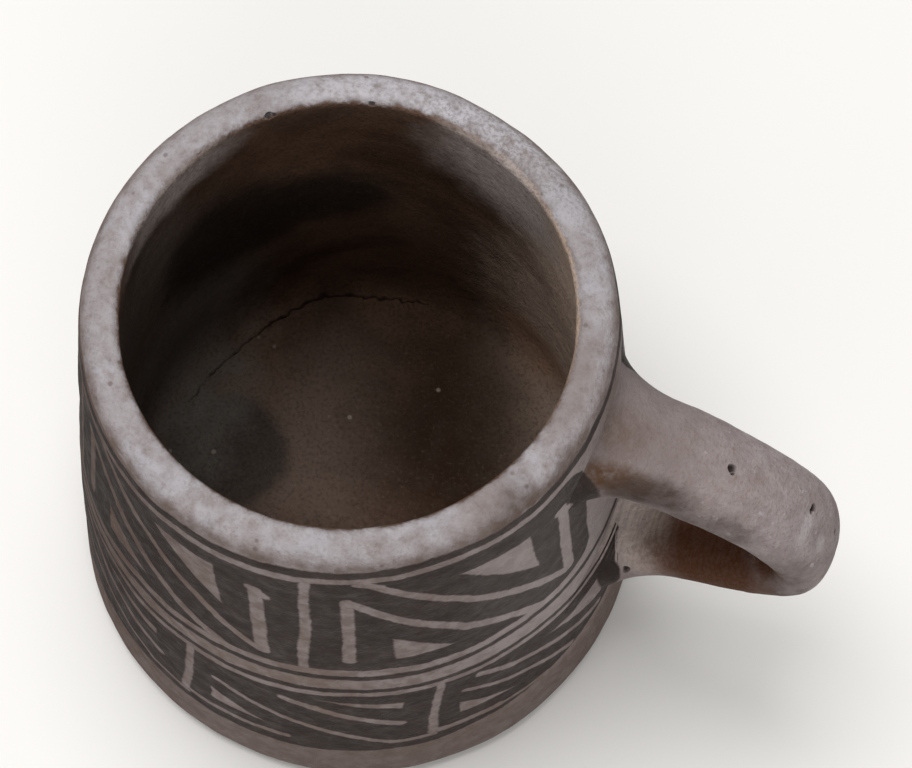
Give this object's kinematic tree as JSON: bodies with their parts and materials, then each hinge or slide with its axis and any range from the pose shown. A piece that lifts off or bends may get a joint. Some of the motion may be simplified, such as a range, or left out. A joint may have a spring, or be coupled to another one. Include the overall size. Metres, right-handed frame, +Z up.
{
  "type": "pottery mug",
  "caption": "Coil-built pottery mug, wider at the foot than at the thick lip, with a strap handle loop let into the wall.",
  "frame": {"origin": "centre of the flat underside, on the mug's axis", "axes": "+Z up along the mug's axis, +X towards the handle"},
  "size_m": [0.1463, 0.1094, 0.1065],
  "materials": {
    "clay_base": "matte",
    "slipped_wall": "matte",
    "worn_rim": "satin",
    "slipped_strap": "matte",
    "luting_clay": "matte"
  },
  "bodies": {
    "root": {"base_disc": "clay_base", "wall_coil_1": "slipped_wall", "wall_coil_2": "slipped_wall", "wall_coil_3": "slipped_wall", "wall_coil_4": "slipped_wall", "wall_coil_5": "slipped_wall", "wall_coil_6": "slipped_wall", "wall_coil_7": "slipped_wall", "rim_coil": "worn_rim", "handle_strap": "slipped_strap", "upper_handle_weld": "luting_clay", "lower_handle_weld": "luting_clay"}
  },
  "joints": []
}
